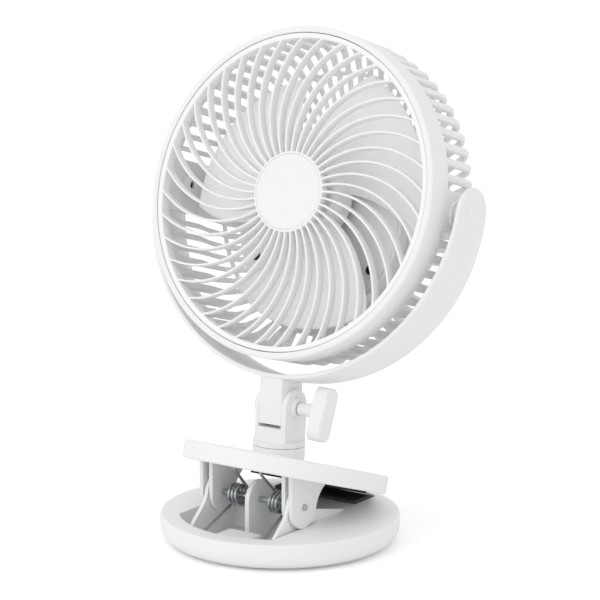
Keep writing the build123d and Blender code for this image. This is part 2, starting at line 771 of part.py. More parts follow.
def battery_cells():
    cells = [axle(9.2, -32.5, 32.5).moved(Location((0, 23.3, -pod_drop + z))) for z in (-9.8, -29.0)]
    return head_frame * Compound(cells)


def battery_holder():
    """Tray with end walls that holds both cells."""
    tray = Pos(0, 13.25, -33.4) * Box(72, 1.6, 40)
    for side in (-1, 1):
        tray += Pos(side * 35.2, 21.25, -33.4) * Box(1.6, 16, 40)
    return head_frame * tray


def circuit_board():
    board = Pos(0, 36, -34) * Box(66, 1.6, 44)
    board += Pos(-18, 37.6, -26) * Box(8, 1.6, 8)
    board += Pos(18, 37.8, -42) * Box(6, 2, 10)
    return head_frame * board


def button_switch():
    body = Pos(0, 38.3, button_z) * Box(6, 3, 6)
    return head_frame * (body + Pos(0, 0, button_z) * drum(1.7, 39.8, 40.9))


def speed_button():
    button = drum(button_radius, 42.6, pod_back + 1.2)
    button = fillet(button.edges().group_by(Axis.Y)[-1], 0.8)
    button += drum(button_radius + 1.3, 42.0, pod_back - skin - 0.2)
    button += drum(2.0, 41.2, 42.6)
    return head_frame * Pos(0, 0, button_z) * button


def indicator_lens():
    return head_frame * Pos(0, 0, lamp_z) * (drum(1.55, 42, pod_back + 0.2) + drum(2.2, 41.4, pod_back - skin))


def charging_socket():
    """Bare metal sleeve with a tongue inside, as such sockets have."""
    low = -pod_drop - pod_radius
    sleeve_face = Plane.XY.offset(low + 1.2) * Pos(0, socket_y) * RectangleRounded(8.9, 3.1, 1.5)
    inner_face = Plane.XY.offset(low) * Pos(0, socket_y) * RectangleRounded(8.3, 2.5, 1.2)
    sleeve = extrude(sleeve_face, 7.5) - extrude(inner_face, 7.6)
    tongue = Pos(0, socket_y, low + 2.6) * Box(6.6, 0.7, 5.5, align=bottom)
    return head_frame * (sleeve + tongue)


# ---- rotor --------------------------------------------------------------------------------------
def blade():
    """One wide blade: its root spans most of the hub's third, its tip is turned back and rounded."""
    rows, columns = 7, 9
    grid = []
    for row in range(rows):
        u = row / (rows - 1)
        line = []
        for column in range(columns):
            v = column / (columns - 1)
            tip = blade_tip - 9.0 * abs(2 * v - 1) ** 5
            radius = blade_root + (tip - blade_root) * u
            front_edge = 92.0 - 28.0 * u
            rear_edge = 12.0 - 17.0 * u ** 0.8
            angle = radians(rear_edge + (front_edge - rear_edge) * v)
            depth = (3.2 + 4.6 * u * u) - v * (14.5 - 3.5 * u) - 2.5 * sin(pi * v) * u
            line.append(Vector(radius * cos(angle), depth, radius * sin(angle)))
        grid.append(line)
    return thicken(Face.make_surface_from_array_of_points(grid), blade_thickness / 2, both=True)


def fan_blades():
    """Cup-shaped hub with its blades."""
    hub = drum(hub_radius, hub_front, hub_back)
    hub = fillet(hub.edges().group_by(Axis.Y)[0], 3)
    hub -= drum(hub_radius - 2.2, hub_front + 2, hub_back + 1)
    hub += drum(4.0, hub_front + 1, -11.6)
    hub -= drum(1.5, hub_front + 1.6, 10)
    return head_frame * (hub + ring_turn(blade(), blade_count))


def rotor_shaft():
    return head_frame * drum(1.5, hub_front + 1.6, pod_front + 5.5)


def rotor_cup():
    cup = drum(19.6, -11.6, 4.4) - drum(18.4, -10.4, 5)
    return head_frame * (cup - drum(1.55, -12, -9))


def rotor_magnet():
    return head_frame * drum(18.4, -8.5, 4.2, 16.2)


# ---- writing the nodes --------------------------------------------------------------------------
save("base_shell", base_shell())
save("base_cover", base_cover())
save("base_cover_screws", base_cover_screws())
save("foot_pads", foot_pads())
save("lower_jaw_pad", lower_jaw_pad())
save("hinge_pin", hinge_pin())
save("torsion_spring_left", torsion_spring(-1))
save("torsion_spring_right", torsion_spring(1))
save("clip_plate", clip_plate())
save("clip_under_plate", clip_under_plate())
save("clip_plate_screws", clip_plate_screws())
save("upper_jaw_pad", upper_jaw_pad())
save("neck_fork", neck_fork())
save("clamp_nut", clamp_nut())
save("swivel_washer", swivel_washer())
save("swivel_screw", swivel_screw())
save("thumb_knob", thumb_knob())
save("thumb_stud", thumb_stud())
save("yoke", yoke())
for name, side in (("left", -1), ("right", 1)):
    save(f"yoke_cap_{name}", yoke_cap(side))
    save(f"pivot_screw_{name}", pivot_screw(side))
    save(f"friction_washer_{name}", friction_washer(side))
save("front_grille", front_grille())
save("grille_centre_disc", grille_centre_disc())
save("rear_housing", rear_housing())
save("motor_plate", motor_plate())
save("motor_plate_screws", motor_plate_screws())
save("bearing_sleeve", bearing_sleeve())
save("stator_core", stator_core())
save("stator_windings", stator_windings())
save("rear_pod_cover", rear_pod_cover())
save("pod_screws", pod_screws())
save("battery_cells", battery_cells())
save("battery_holder", battery_holder())
save("circuit_board", circuit_board())
save("button_switch", button_switch())
save("speed_button", speed_button())
save("indicator_lens", indicator_lens())
save("charging_socket", charging_socket())
save("fan_blades", fan_blades())
save("rotor_shaft", rotor_shaft())
save("rotor_cup", rotor_cup())
save("rotor_magnet", rotor_magnet())
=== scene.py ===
import json
import math

import bmesh
import bpy
import numpy as np
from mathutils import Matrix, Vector

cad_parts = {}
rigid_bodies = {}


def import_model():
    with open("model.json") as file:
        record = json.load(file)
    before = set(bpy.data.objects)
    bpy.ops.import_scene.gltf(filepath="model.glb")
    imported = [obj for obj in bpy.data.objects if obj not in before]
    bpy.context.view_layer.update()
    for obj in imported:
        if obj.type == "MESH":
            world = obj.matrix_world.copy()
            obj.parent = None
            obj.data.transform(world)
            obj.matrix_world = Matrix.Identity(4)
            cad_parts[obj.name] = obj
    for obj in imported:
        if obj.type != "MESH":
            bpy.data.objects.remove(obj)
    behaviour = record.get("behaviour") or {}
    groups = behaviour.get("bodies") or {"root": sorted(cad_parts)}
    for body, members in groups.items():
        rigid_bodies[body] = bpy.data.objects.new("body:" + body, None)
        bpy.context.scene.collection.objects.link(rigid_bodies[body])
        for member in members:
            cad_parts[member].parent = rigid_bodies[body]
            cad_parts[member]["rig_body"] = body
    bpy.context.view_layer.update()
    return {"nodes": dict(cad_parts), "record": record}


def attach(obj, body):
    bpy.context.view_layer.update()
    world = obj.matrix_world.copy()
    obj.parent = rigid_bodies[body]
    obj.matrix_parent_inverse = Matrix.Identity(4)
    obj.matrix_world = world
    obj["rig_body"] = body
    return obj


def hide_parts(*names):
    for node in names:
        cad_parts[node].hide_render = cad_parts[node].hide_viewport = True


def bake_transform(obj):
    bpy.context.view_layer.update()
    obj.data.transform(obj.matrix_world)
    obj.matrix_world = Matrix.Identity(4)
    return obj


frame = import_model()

print("frame loaded:", len(frame["nodes"]), "nodes")

# camera at the photograph's place
viewpoint = {
    "aim": (0.0, 0.0, 0.155),       # metres
    "turn": 35.36,                  # degrees to the right of straight ahead
    "rise": 11.37,
    "distance": 1.5,
    "lens": 147.29,
    "shift": (0.0333, -0.0102),
}


def addCamera(values):
    turn, rise = math.radians(values["turn"]), math.radians(values["rise"])
    outward = Vector((math.sin(turn) * math.cos(rise), -math.cos(turn) * math.cos(rise), math.sin(rise)))
    data = bpy.data.cameras.new("camera")
    data.sensor_width = 36.0
    data.lens = values["lens"]
    data.shift_x, data.shift_y = values["shift"]
    camera = bpy.data.objects.new("camera", data)
    camera.location = Vector(values["aim"]) + outward * values["distance"]
    camera.rotation_euler = (-outward).to_track_quat("-Z", "Y").to_euler()
    bpy.context.scene.collection.objects.link(camera)
    bpy.context.scene.camera = camera


addCamera(viewpoint)

# light from a soft room and one broad lamp, on a pale floor
studio = {
    "world": (0.865, 0.04),          # light from all round, and how much more comes from the bright side
    "brightSide": (-0.52, -0.76, 0.38),
    "key": 0.42, "keyAngle": 40.0,   # sun: strength, and how wide it is in degrees
    "keyTurn": (56.0, -14.0),        # its lean from overhead and its turn to the left, degrees
    "floorColour": (0.97, 0.97, 0.97),
    "floorLift": 0.18,              # the floor's extra whiteness to the camera
    "floorReach": 8.0,
}


def addStudio(values):
    scene = bpy.context.scene
    world = bpy.data.worlds.new("softRoom")
    scene.world = world
    world.use_nodes = True
    tree = world.node_tree
    tree.nodes.clear()
    link = tree.links.new
    way = tree.nodes.new("ShaderNodeTexCoord")
    side = tree.nodes.new("ShaderNodeVectorMath")
    side.operation = "DOT_PRODUCT"
    side.inputs[1].default_value = values["brightSide"]
    link(way.outputs["Generated"], side.inputs[0])
    plain, swing = values["world"]
    level = tree.nodes.new("ShaderNodeMath")
    level.operation = "MULTIPLY_ADD"
    level.inputs[1].default_value = swing
    level.inputs[2].default_value = plain
    link(side.outputs["Value"], level.inputs[0])
    room = tree.nodes.new("ShaderNodeBackground")
    link(level.outputs[0], room.inputs["Strength"])
    backdrop = tree.nodes.new("ShaderNodeBackground")
    for shader in (room, backdrop):
        shader.inputs["Color"].default_value = (1, 1, 1, 1)
    rays = tree.nodes.new("ShaderNodeLightPath")
    seen = rays.outputs["Is Camera Ray"]
    for kind in ("Is Glossy Ray", "Is Transmission Ray"):
        either = tree.nodes.new("ShaderNodeMath")
        either.operation = "MAXIMUM"
        link(seen, either.inputs[0])
        link(rays.outputs[kind], either.inputs[1])
        seen = either.outputs[0]
    mix = tree.nodes.new("ShaderNodeMixShader")
    link(seen, mix.inputs["Fac"])
    link(room.outputs[0], mix.inputs[1])
    link(backdrop.outputs[0], mix.inputs[2])
    output = tree.nodes.new("ShaderNodeOutputWorld")
    link(mix.outputs[0], output.inputs["Surface"])

    lamp = bpy.data.lights.new("keyLight", "SUN")
    lamp.energy = values["key"]
    lamp.angle = math.radians(values["keyAngle"])
    key = bpy.data.objects.new("keyLight", lamp)
    lean, turn = values["keyTurn"]
    key.rotation_euler = (math.radians(lean), 0, math.radians(turn))
    scene.collection.objects.link(key)

    reach = values["floorReach"]
    mesh = bpy.data.meshes.new("floor")
    mesh.from_pydata([(-reach, -reach, 0), (reach, -reach, 0), (reach, reach, 0), (-reach, reach, 0)], [],
                     [(0, 1, 2, 3)])
    floor = bpy.data.objects.new("floor", mesh)
    scene.collection.objects.link(floor)
    paper = bpy.data.materials.new("paleFloor")
    paper.use_nodes = True
    tree = paper.node_tree
    shader = tree.nodes["Principled BSDF"]
    shader.inputs["Base Color"].default_value = (*values["floorColour"], 1)
    shader.inputs["Roughness"].default_value = 0.9
    shader.inputs["Specular IOR Level"].default_value = 0.0
    shader.inputs["Emission Color"].default_value = (1, 1, 1, 1)
    rays = tree.nodes.new("ShaderNodeLightPath")
    lift = tree.nodes.new("ShaderNodeMath")
    lift.operation = "MULTIPLY"
    lift.inputs[1].default_value = values["floorLift"]
    tree.links.new(rays.outputs["Is Camera Ray"], lift.inputs[0])
    tree.links.new(lift.outputs[0], shader.inputs["Emission Strength"])
    mesh.materials.append(paper)


addStudio(studio)
bpy.context.scene.view_settings.view_transform = "Standard"
print("camera and studio set")


# surface effects that several finishes share
def newGroup(name, inputs, outputs):
    group = bpy.data.node_groups.new(name, "ShaderNodeTree")
    for label, kind, value in inputs:
        socket = group.interface.new_socket(name=label, in_out="INPUT", socket_type=kind)
        socket.default_value = value
    for label, kind in outputs:
        group.interface.new_socket(name=label, in_out="OUTPUT", socket_type=kind)
    return group, group.nodes.new("NodeGroupInput"), group.nodes.new("NodeGroupOutput")


def addNode(tree, kind, settings=None, values=None):
    node = tree.nodes.new(kind)
    for label, value in (settings or {}).items():
        setattr(node, label, value)
    for label, value in (values or {}).items():
        node.inputs[label].default_value = value
    return node


def buildGrain():
    # two noises: a fine one for the spark-eroded grain of a mould, a broad one for uneven colour
    group, given, result = newGroup("mouldGrain", [
        ("Colour", "NodeSocketColor", (0.8, 0.8, 0.8, 1)),
        ("Scale", "NodeSocketFloat", 1400.0),
        ("Mottle", "NodeSocketFloat", 0.03),
        ("Roughness", "NodeSocketFloat", 0.45),
        ("Bump", "NodeSocketFloat", 0.2),
    ], [("Colour", "NodeSocketColor"), ("Roughness", "NodeSocketFloat"), ("Normal", "NodeSocketVector")])
    link = group.links.new
    place = addNode(group, "ShaderNodeTexCoord")
    fine = addNode(group, "ShaderNodeTexNoise", values={"Detail": 3.0, "Roughness": 0.6})
    link(place.outputs["Object"], fine.inputs["Vector"])
    link(given.outputs["Scale"], fine.inputs["Scale"])
    broad = addNode(group, "ShaderNodeTexNoise", values={"Scale": 28.0, "Detail": 2.0})
    link(place.outputs["Object"], broad.inputs["Vector"])
    amount = addNode(group, "ShaderNodeMapRange", values={"To Min": -1.0, "To Max": 1.0})
    link(broad.outputs["Fac"], amount.inputs["Value"])
    swing = addNode(group, "ShaderNodeMath", {"operation": "MULTIPLY"})
    link(amount.outputs["Result"], swing.inputs[0])
    link(given.outputs["Mottle"], swing.inputs[1])
    lift = addNode(group, "ShaderNodeMath", {"operation": "ADD"}, {1: 1.0})
    link(swing.outputs[0], lift.inputs[0])
    tint = addNode(group, "ShaderNodeVectorMath", {"operation": "SCALE"})
    link(given.outputs["Colour"], tint.inputs[0])
    link(lift.outputs[0], tint.inputs["Scale"])
    link(tint.outputs["Vector"], result.inputs["Colour"])
    polish = addNode(group, "ShaderNodeMapRange", values={"To Min": -0.06, "To Max": 0.06})
    link(fine.outputs["Fac"], polish.inputs["Value"])
    rough = addNode(group, "ShaderNodeMath", {"operation": "ADD", "use_clamp": True})
    link(given.outputs["Roughness"], rough.inputs[0])
    link(polish.outputs["Result"], rough.inputs[1])
    link(rough.outputs[0], result.inputs["Roughness"])
    bump = addNode(group, "ShaderNodeBump", values={"Distance": 0.0001})
    link(given.outputs["Bump"], bump.inputs["Strength"])
    link(fine.outputs["Fac"], bump.inputs["Height"])
    link(bump.outputs["Normal"], result.inputs["Normal"])
    return group


def buildDust():
    # settles on what faces up, broken by a noise, and darkens a colour a little
    group, given, result = newGroup("settledDust", [
        ("Colour", "NodeSocketColor", (0.8, 0.8, 0.8, 1)),
        ("Dust", "NodeSocketColor", (0.62, 0.6, 0.56, 1)),
        ("Amount", "NodeSocketFloat", 0.05),
    ], [("Colour", "NodeSocketColor")])
    link = group.links.new
    place = addNode(group, "ShaderNodeTexCoord")
    shape = addNode(group, "ShaderNodeNewGeometry")
    split = addNode(group, "ShaderNodeSeparateXYZ")
    link(shape.outputs["Normal"], split.inputs[0])
    up = addNode(group, "ShaderNodeMapRange", values={"From Min": 0.2, "From Max": 1.0})
    link(split.outputs["Z"], up.inputs["Value"])
    cloud = addNode(group, "ShaderNodeTexNoise", values={"Scale": 90.0, "Detail": 4.0})
    link(place.outputs["Object"], cloud.inputs["Vector"])
    patch = addNode(group, "ShaderNodeMapRange", values={"From Min": 0.35, "From Max": 0.75})
    link(cloud.outputs["Fac"], patch.inputs["Value"])
    both = addNode(group, "ShaderNodeMath", {"operation": "MULTIPLY"})
    link(up.outputs["Result"], both.inputs[0])
    link(patch.outputs["Result"], both.inputs[1])
    weight = addNode(group, "ShaderNodeMath", {"operation": "MULTIPLY", "use_clamp": True})
    link(both.outputs[0], weight.inputs[0])
    link(given.outputs["Amount"], weight.inputs[1])
    mix = addNode(group, "ShaderNodeMix", {"data_type": "RGBA"})      # colours: inputs 6 and 7, output 2
    link(weight.outputs[0], mix.inputs[0])
    link(given.outputs["Colour"], mix.inputs[6])
    link(given.outputs["Dust"], mix.inputs[7])
    link(mix.outputs[2], result.inputs["Colour"])
    return group


grainGroup = buildGrain()
dustGroup = buildDust()


def useGroup(tree, group, values):
    node = tree.nodes.new("ShaderNodeGroup")
    node.node_tree = group
    for label, value in values.items():
        node.inputs[label].default_value = value
    return node


def mouldedMaterial(name, values):
    # grained plastic or rubber: grain feeds colour, roughness and normal, dust tints the colour
    material = bpy.data.materials.new(name)
    material.use_nodes = True
    tree = material.node_tree
    shader = tree.nodes["Principled BSDF"]
    grain = useGroup(tree, grainGroup, {
        "Colour": (*values["colour"], 1), "Scale": values["grain"], "Mottle": values["mottle"],
        "Roughness": values["roughness"], "Bump": values["bump"]})
    dust = useGroup(tree, dustGroup, {"Amount": values.get("dust", 0.0)})
    tree.links.new(grain.outputs["Colour"], dust.inputs["Colour"])
    tree.links.new(dust.outputs["Colour"], shader.inputs["Base Color"])
    tree.links.new(grain.outputs["Roughness"], shader.inputs["Roughness"])
    tree.links.new(grain.outputs["Normal"], shader.inputs["Normal"])
    shader.inputs["Metallic"].default_value = values.get("metallic", 0.0)
    shader.inputs["Specular IOR Level"].default_value = values.get("gloss", 0.5)
    return material


finishes = {
    "white_shell": dict(colour=(0.885, 0.89, 0.887), grain=2200.0,
                        mottle=0.012, roughness=0.48, bump=0.1, dust=0.04),
    "white_inner": dict(colour=(0.86, 0.865, 0.86), grain=2200.0,
                        mottle=0.015, roughness=0.5, bump=0.1, dust=0.03),
    "black_rubber": dict(colour=(0.018, 0.019, 0.02), grain=1500.0,
                         mottle=0.15, roughness=0.72, bump=0.5, dust=0.03, gloss=0.3),
    "steel": dict(colour=(0.52, 0.53, 0.54), grain=900.0,
                  mottle=0.05, roughness=0.3, bump=0.08, metallic=1.0),
    "spring_steel": dict(colour=(0.43, 0.445, 0.46), grain=700.0,
                         mottle=0.08, roughness=0.22, bump=0.1, metallic=1.0),
    "black_screw": dict(colour=(0.012, 0.012, 0.013), grain=900.0,
                        mottle=0.1, roughness=0.5, bump=0.1, gloss=0.3),
    # painted light: a lighter copy of the jaw rubber for the lower pad, lifted to the look of its lit front
    # and side
    "pad_rubber_painted_light": dict(colour=(0.06, 0.061, 0.063), grain=1500.0,
                     mottle=0.1, roughness=0.65, bump=0.5, gloss=0.3),
    "nylon": dict(colour=(0.66, 0.65, 0.6), grain=1800.0,
                  mottle=0.03, roughness=0.55, bump=0.1),
    "white_grille": dict(colour=(0.93, 0.935, 0.933), grain=2200.0,
                         mottle=0.012, roughness=0.45, bump=0.08),
    # painted light: the blades' own white is raised close to pure white so that, in the shade inside the
    # head, they read as bright as the lit outer surfaces
    "blade_plastic": dict(colour=(0.97, 0.974, 0.972), grain=2600.0,
                          mottle=0.015, roughness=0.4, bump=0.06),
    "bronze": dict(colour=(0.42, 0.27, 0.12), grain=1500.0,
                   mottle=0.12, roughness=0.42, bump=0.2, metallic=1.0),
    "core_steel": dict(colour=(0.3, 0.31, 0.33), grain=1200.0,
                       mottle=0.08, roughness=0.42, bump=0.1, metallic=1.0),
    "copper": dict(colour=(0.62, 0.25, 0.1), grain=1500.0,
                   mottle=0.06, roughness=0.32, bump=0.1, metallic=1.0),
    "magnet": dict(colour=(0.06, 0.06, 0.065), grain=1500.0,
                   mottle=0.1, roughness=0.6, bump=0.2),
    "cell_wrap": dict(colour=(0.1, 0.2, 0.42), grain=1500.0,
                      mottle=0.04, roughness=0.35, bump=0.05),
    "board_green": dict(colour=(0.02, 0.13, 0.05), grain=1500.0,
                        mottle=0.1, roughness=0.4, bump=0.1),
    "switch_black": dict(colour=(0.025, 0.025, 0.027), grain=1500.0,
                         mottle=0.1, roughness=0.45, bump=0.1),
    "button_grey": dict(colour=(0.42, 0.43, 0.44), grain=2000.0,
                        mottle=0.03, roughness=0.48, bump=0.15),
    "lens_clear": dict(colour=(0.75, 0.77, 0.78), grain=1500.0,
                       mottle=0.02, roughness=0.15, bump=0.02),
}
materials = {slot: mouldedMaterial(slot, values) for slot, values in finishes.items()}

# screws with a black finish, in a steel slot
blackNodes = ("motor_plate_screws", "pivot_screw_left", "pivot_screw_right")
for node in frame["record"]["subparts"]:
    piece = frame["nodes"][node["node"]]
    finish = "black_screw" if node["node"] in blackNodes else node["material_slot"]
    piece.data.materials.clear()
    piece.data.materials.append(materials[finish])
print("materials ready:", len(materials))

# the part's working frames: origin in millimetres, lean in degrees
workFrames = {
    "base": ((0.0, 0.0, 0.0), 0.0),
    "plate": ((0.0, 3.9, 39.2), 18.2),
    "neck": ((0.0, 0.5, 84.7), 4.0),
    "head": ((0.0, 36.195, 209.183), 16.0),
}


def placed(x, y, z, where):
    # turned about X by the frame's lean, moved to its origin, and put into metres
    origin, lean = workFrames[where]
    c, s = math.cos(math.radians(lean)), math.sin(math.radians(lean))
    x, y, z = np.broadcast_arrays(x, y, z)
    return np.stack([x + origin[0], y * c + z * s + origin[1], z * c - y * s + origin[2]], -1) * 0.001


def gridPart(points, wrapRows=False, wrapColumns=False, caps=False):
    # quads between neighbouring rows and columns of a grid, or of many grids; caps close the end rows
    rows, columns = points.shape[-3], points.shape[-2]
    copies = int(np.prod(points.shape[:-3]))
    a = np.arange(rows if wrapRows else rows - 1)[:, None]
    b = np.arange(columns if wrapColumns else columns - 1)[None, :]
    c, d = (a + 1) % rows, (b + 1) % columns
    quads = np.stack([a * columns + b, a * columns + d, c * columns + d, c * columns + b], -1).reshape(-1, 4)
    starts = (np.arange(copies) * rows * columns)[:, None]
    blocks = [(starts[:, :, None] + quads).reshape(-1, 4)]
    if caps:
        ends = np.stack([np.arange(columns), (rows - 1) * columns + np.arange(columns)[::-1]])
        blocks.append((starts[:, :, None] + ends).reshape(-1, columns))
    return points.reshape(-1, 3), blocks


def roundedOutline(corners, radii, steps=5):
    # corners become arcs: the centre lies on the bisector, the ends where the arc touches both sides
    spot = np.array(corners, float)
    radius = np.broadcast_to(np.array(radii, float), len(spot))[:, None]
    back = np.roll(spot, 1, 0) - spot
    ahead = np.roll(spot, -1, 0) - spot
    back /= np.linalg.norm(back, axis=1, keepdims=True)
    ahead /= np.linalg.norm(ahead, axis=1, keepdims=True)
    half = np.arccos(np.clip((back * ahead).sum(1, keepdims=True), -1, 1)) / 2
    middle = back + ahead
    middle /= np.linalg.norm(middle, axis=1, keepdims=True)
    centre = spot + middle * radius / np.sin(half)
    first = spot + back * radius / np.tan(half) - centre
    last = spot + ahead * radius / np.tan(half) - centre
    swing = (np.pi - 2 * half)[:, None, :]
    t = np.linspace(0, 1, steps)[None, :, None]
    arc = (np.sin((1 - t) * swing) * first[:, None] + np.sin(t * swing) * last[:, None]) / np.sin(swing)
    return (centre[:, None] + arc).reshape(-1, 2)


def lathe(profile, where, steps=192, centre=(0.0, 0.0), axis="y", closed=True):
    # every point (radius, along) of a profile goes round the axis: radius cos t, radius sin t
    t = np.linspace(0, 2 * np.pi, steps, endpoint=False)[:, None]
    radius, along = np.array(profile, float).T
    across, up = centre[0] + radius * np.cos(t), centre[1] + radius * np.sin(t)
    if axis == "y":
        points = placed(across, along, up, where)
    elif axis == "x":
        points = placed(along, across, up, where)
    else:
        points = placed(across, up, along, where)
    return gridPart(points, wrapRows=True, wrapColumns=closed)


def barSection(faceSteps, cornerSteps=3):
    # outline of a flat bar: its place between the sides (-1 to 1), between the faces, and round the corner
    quarter = np.pi / 2
    corner = np.linspace(0, quarter, cornerSteps)
    face = np.linspace(1, -1, faceSteps + 2)[1:-1]
    one, flat = np.ones(cornerSteps), np.ones(faceSteps)
    side = np.concatenate([one, face, -one, -one, -face, one])
    level = np.concatenate([one, flat, one, -one, -flat, -one])
    turn = np.concatenate([corner, flat * quarter, corner + quarter,
                           corner + 2 * quarter, flat * 3 * quarter, corner + 3 * quarter])
    return side, level, np.cos(turn), np.sin(turn)


def makePiece(name, parts, body, slotName, replaced=(), sharp=40.0):
    points = np.concatenate([part[0] for part in parts])
    starts = np.cumsum([0] + [len(part[0]) for part in parts])
    faces = []
    for part, start in zip(parts, starts):
        for block in part[1]:
            faces += (block + start).tolist()
    mesh = bpy.data.meshes.new(name)
    mesh.from_pydata(points.tolist(), [], faces)
    return finishPiece(name, mesh, body, slotName, replaced, sharp)


def finishPiece(name, mesh, body, slotName, replaced=(), sharp=40.0):
    # doubles merged at seams and poles, faces outwards, smooth up to the sharp angle
    work = bmesh.new()
    work.from_mesh(mesh)
    bmesh.ops.remove_doubles(work, verts=work.verts, dist=2e-6)
    bmesh.ops.recalc_face_normals(work, faces=work.faces)
    if work.calc_volume(signed=True) < 0:       # a wound wire can come out inside out
        bmesh.ops.reverse_faces(work, faces=work.faces)
    work.to_mesh(mesh)
    work.free()
    mesh.shade_smooth()
    mesh.set_sharp_from_angle(angle=math.radians(sharp))
    piece = bpy.data.objects.new(name, mesh)
    bpy.context.scene.collection.objects.link(piece)
    mesh.materials.clear()
    mesh.materials.append(materials[slotName])
    if body:
        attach(piece, body)
    if replaced:
        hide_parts(*replaced)
    return piece


# front grille: swirl of curved ribs between a ring and a boss
grille = {
    "ribs": 40, "width": 1.3, "front": -29.4, "back": -22.9, "frontRound": 0.6, "backRound": 0.35,
    "path": ((24.0, -3.6), (60.0, -13.4), (95.6, -31.4)),       # radius and degrees of three points of a rib
    "ring": (94.9, 98.15, -29.6, -22.0),        # inner and outer radius, front, back
    "boss": (24.9, -29.5, -23.5),               # radius, front, back
    "bossLip": 1.25, "bossWall": 2.6,           # in from the boss's side, before and behind its web
    "bossWeb": (-27.9, -26.1),                  # front and back of the plate across the boss
}


def arcThrough(spots, steps):
    # circle through three polar points, from the first to the last, and the direction away from its centre
    a, b, c = [np.array([r * math.cos(math.radians(t)), r * math.sin(math.radians(t))]) for r, t in spots]
    d = 2 * (a[0] * (b[1] - c[1]) + b[0] * (c[1] - a[1]) + c[0] * (a[1] - b[1]))
    squares = np.array([p @ p for p in (a, b, c)])
    x = squares @ np.array([b[1] - c[1], c[1] - a[1], a[1] - b[1]]) / d
    y = squares @ np.array([c[0] - b[0], a[0] - c[0], b[0] - a[0]]) / d
    centre = np.array([x, y])
    start = math.atan2(a[1] - y, a[0] - x)
    swing = (math.atan2(c[1] - y, c[0] - x) - start + math.pi) % (2 * math.pi) - math.pi
    turn = start + swing * np.linspace(0, 1, steps)
    away = np.stack([np.cos(turn), np.sin(turn)], -1)
    return centre + away * np.linalg.norm(a - centre), away


def grilleRibs(values, where="head"):
    # a rib's rounded section (across, depth) carried along its arc, then turned round the axis
    line, away = arcThrough(values["path"], 28)
    half, front, back = values["width"] / 2, values["front"], values["back"]
    sharp, blunt = values["backRound"], values["frontRound"]
    section = roundedOutline([(-half, front), (half, front), (half, back), (-half, back)],
                             [blunt, blunt, sharp, sharp], 4)
    flat = line[:, None, :] + away[:, None, :] * section[None, :, :1]
    turn = (np.arange(values["ribs"]) * 2 * np.pi / values["ribs"])[:, None, None]
    x = flat[..., 0] * np.cos(turn) - flat[..., 1] * np.sin(turn)
    z = flat[..., 0] * np.sin(turn) + flat[..., 1] * np.cos(turn)
    return gridPart(placed(x, section[None, None, :, 1], z, where), wrapColumns=True, caps=True)


def buildFrontGrille(values):
    near, far, front, back = values["ring"]
    ring = roundedOutline([(near, front), (far, front), (far, back), (near, back)], [0.9, 0.3, 0.3, 0.6])
    boss, bossFront, bossBack = values["boss"]
    seat, web = values["bossWeb"]
    lip, wall = boss - values["bossLip"], boss - values["bossWall"]
    pole = 0.001        # closes when the doubles are merged
    bossSide = roundedOutline([(pole, seat), (lip, seat), (lip, bossFront), (boss, bossFront),
                               (boss, bossBack), (wall, bossBack), (wall, web), (pole, web)],
                              [pole / 2, 0.1, 0.2, 0.45, 0.3, 0.3, 0.3, pole / 2], 4)
    parts = [grilleRibs(values), lathe(ring, "head", 256), lathe(bossSide, "head", 128)]
    return makePiece("frontGrille", parts, "head", "white_grille", ("front_grille",), 50)


centreDisc = {
    "radius": 23.55, "front": -29.5, "back": -27.9, "dish": 0.2, "dishRim": 0.12,
    "rim": 0.55, "rimSlope": 0.25, "rimTop": 0.03, "edge": 0.3,
}


def buildCentreDisc(values):
    # shallow dish inside a thin raised rim: depth falls with the square of the radius
    reach = values["radius"] - values["rim"]
    r = np.linspace(0, reach, 14)
    dish = values["front"] + values["dishRim"] + values["dish"] * (1 - (r / reach) ** 2)
    radius, top, back = values["radius"], values["front"] + values["rimTop"], values["back"]
    edge = roundedOutline([(reach + values["rimSlope"], top), (radius, top), (radius, back), (reach, back)],
                          [0.2, values["edge"], 0.1, 0.05], 4)[:-4]
    profile = np.concatenate([np.stack([r, dish], -1), edge, [(0.0, back)]])
    disc = lathe(profile, "head", 128, closed=False)
    return makePiece("grilleCentreDisc", [disc], "head", "white_shell", ("grille_centre_disc",), 50)


buildFrontGrille(grille)
buildCentreDisc(centreDisc)
print("front grille made")

# rear housing: round band, ribs that turn over its back corner, a thin ring, and ribs on to the pod
housing = {
    "outer": 102.6, "wall": 2.2, "back": 23.0, "corner": 8.0, "edge": 0.55,
    "lip": (98.6, -30.2, -21.9), "step": (96.4, -20.0),     # radii with their front and back
    "slots": 64, "phase": 0.936, "slotFront": -12.0, "ring": (81.6, 84.0), "overlap": 0.4,
    "patch": ((-8.5, 5.0), (-11.2, 11.2)),      # plain band at the right and left pivot, degrees
    "swirl": 4.0,                               # degrees between the ring and the band
    "swirlDrop": (12.5, 224.0, 78.0),           # it turns back at the lower left: how much, where, how far
    "outerSlot": (2.35, 2.6), "innerSlot": (0.027, 2.2), "shortBar": 5.0,
    "barDepth": 3.9, "deepOver": 5.0, "crown": 0.8, "flare": 0.9,
    "podRadius": 60.0, "podDrop": 14.0, "podFront": 10.0, "podRim": (-1.5, 3.0), "podWall": 2.4,
    "post": (1.28, 4.2, 14.0), "postInset": 6.4, "postTurns": (35, 145, 215, 325),
    "pivotBore": 2.5, "hub": (8.0, 101.0, 104.0), "stud": (7.0, 94.0, 101.6),      # radius, from, to
}


def podEdge(angle, values):
    # radius from the fan axis to the pod's circle, whose centre lies below it
    slant = values["podDrop"] * np.cos(angle)
    return -values["podDrop"] * np.sin(angle) + np.sqrt(values["podRadius"] ** 2 - slant ** 2)


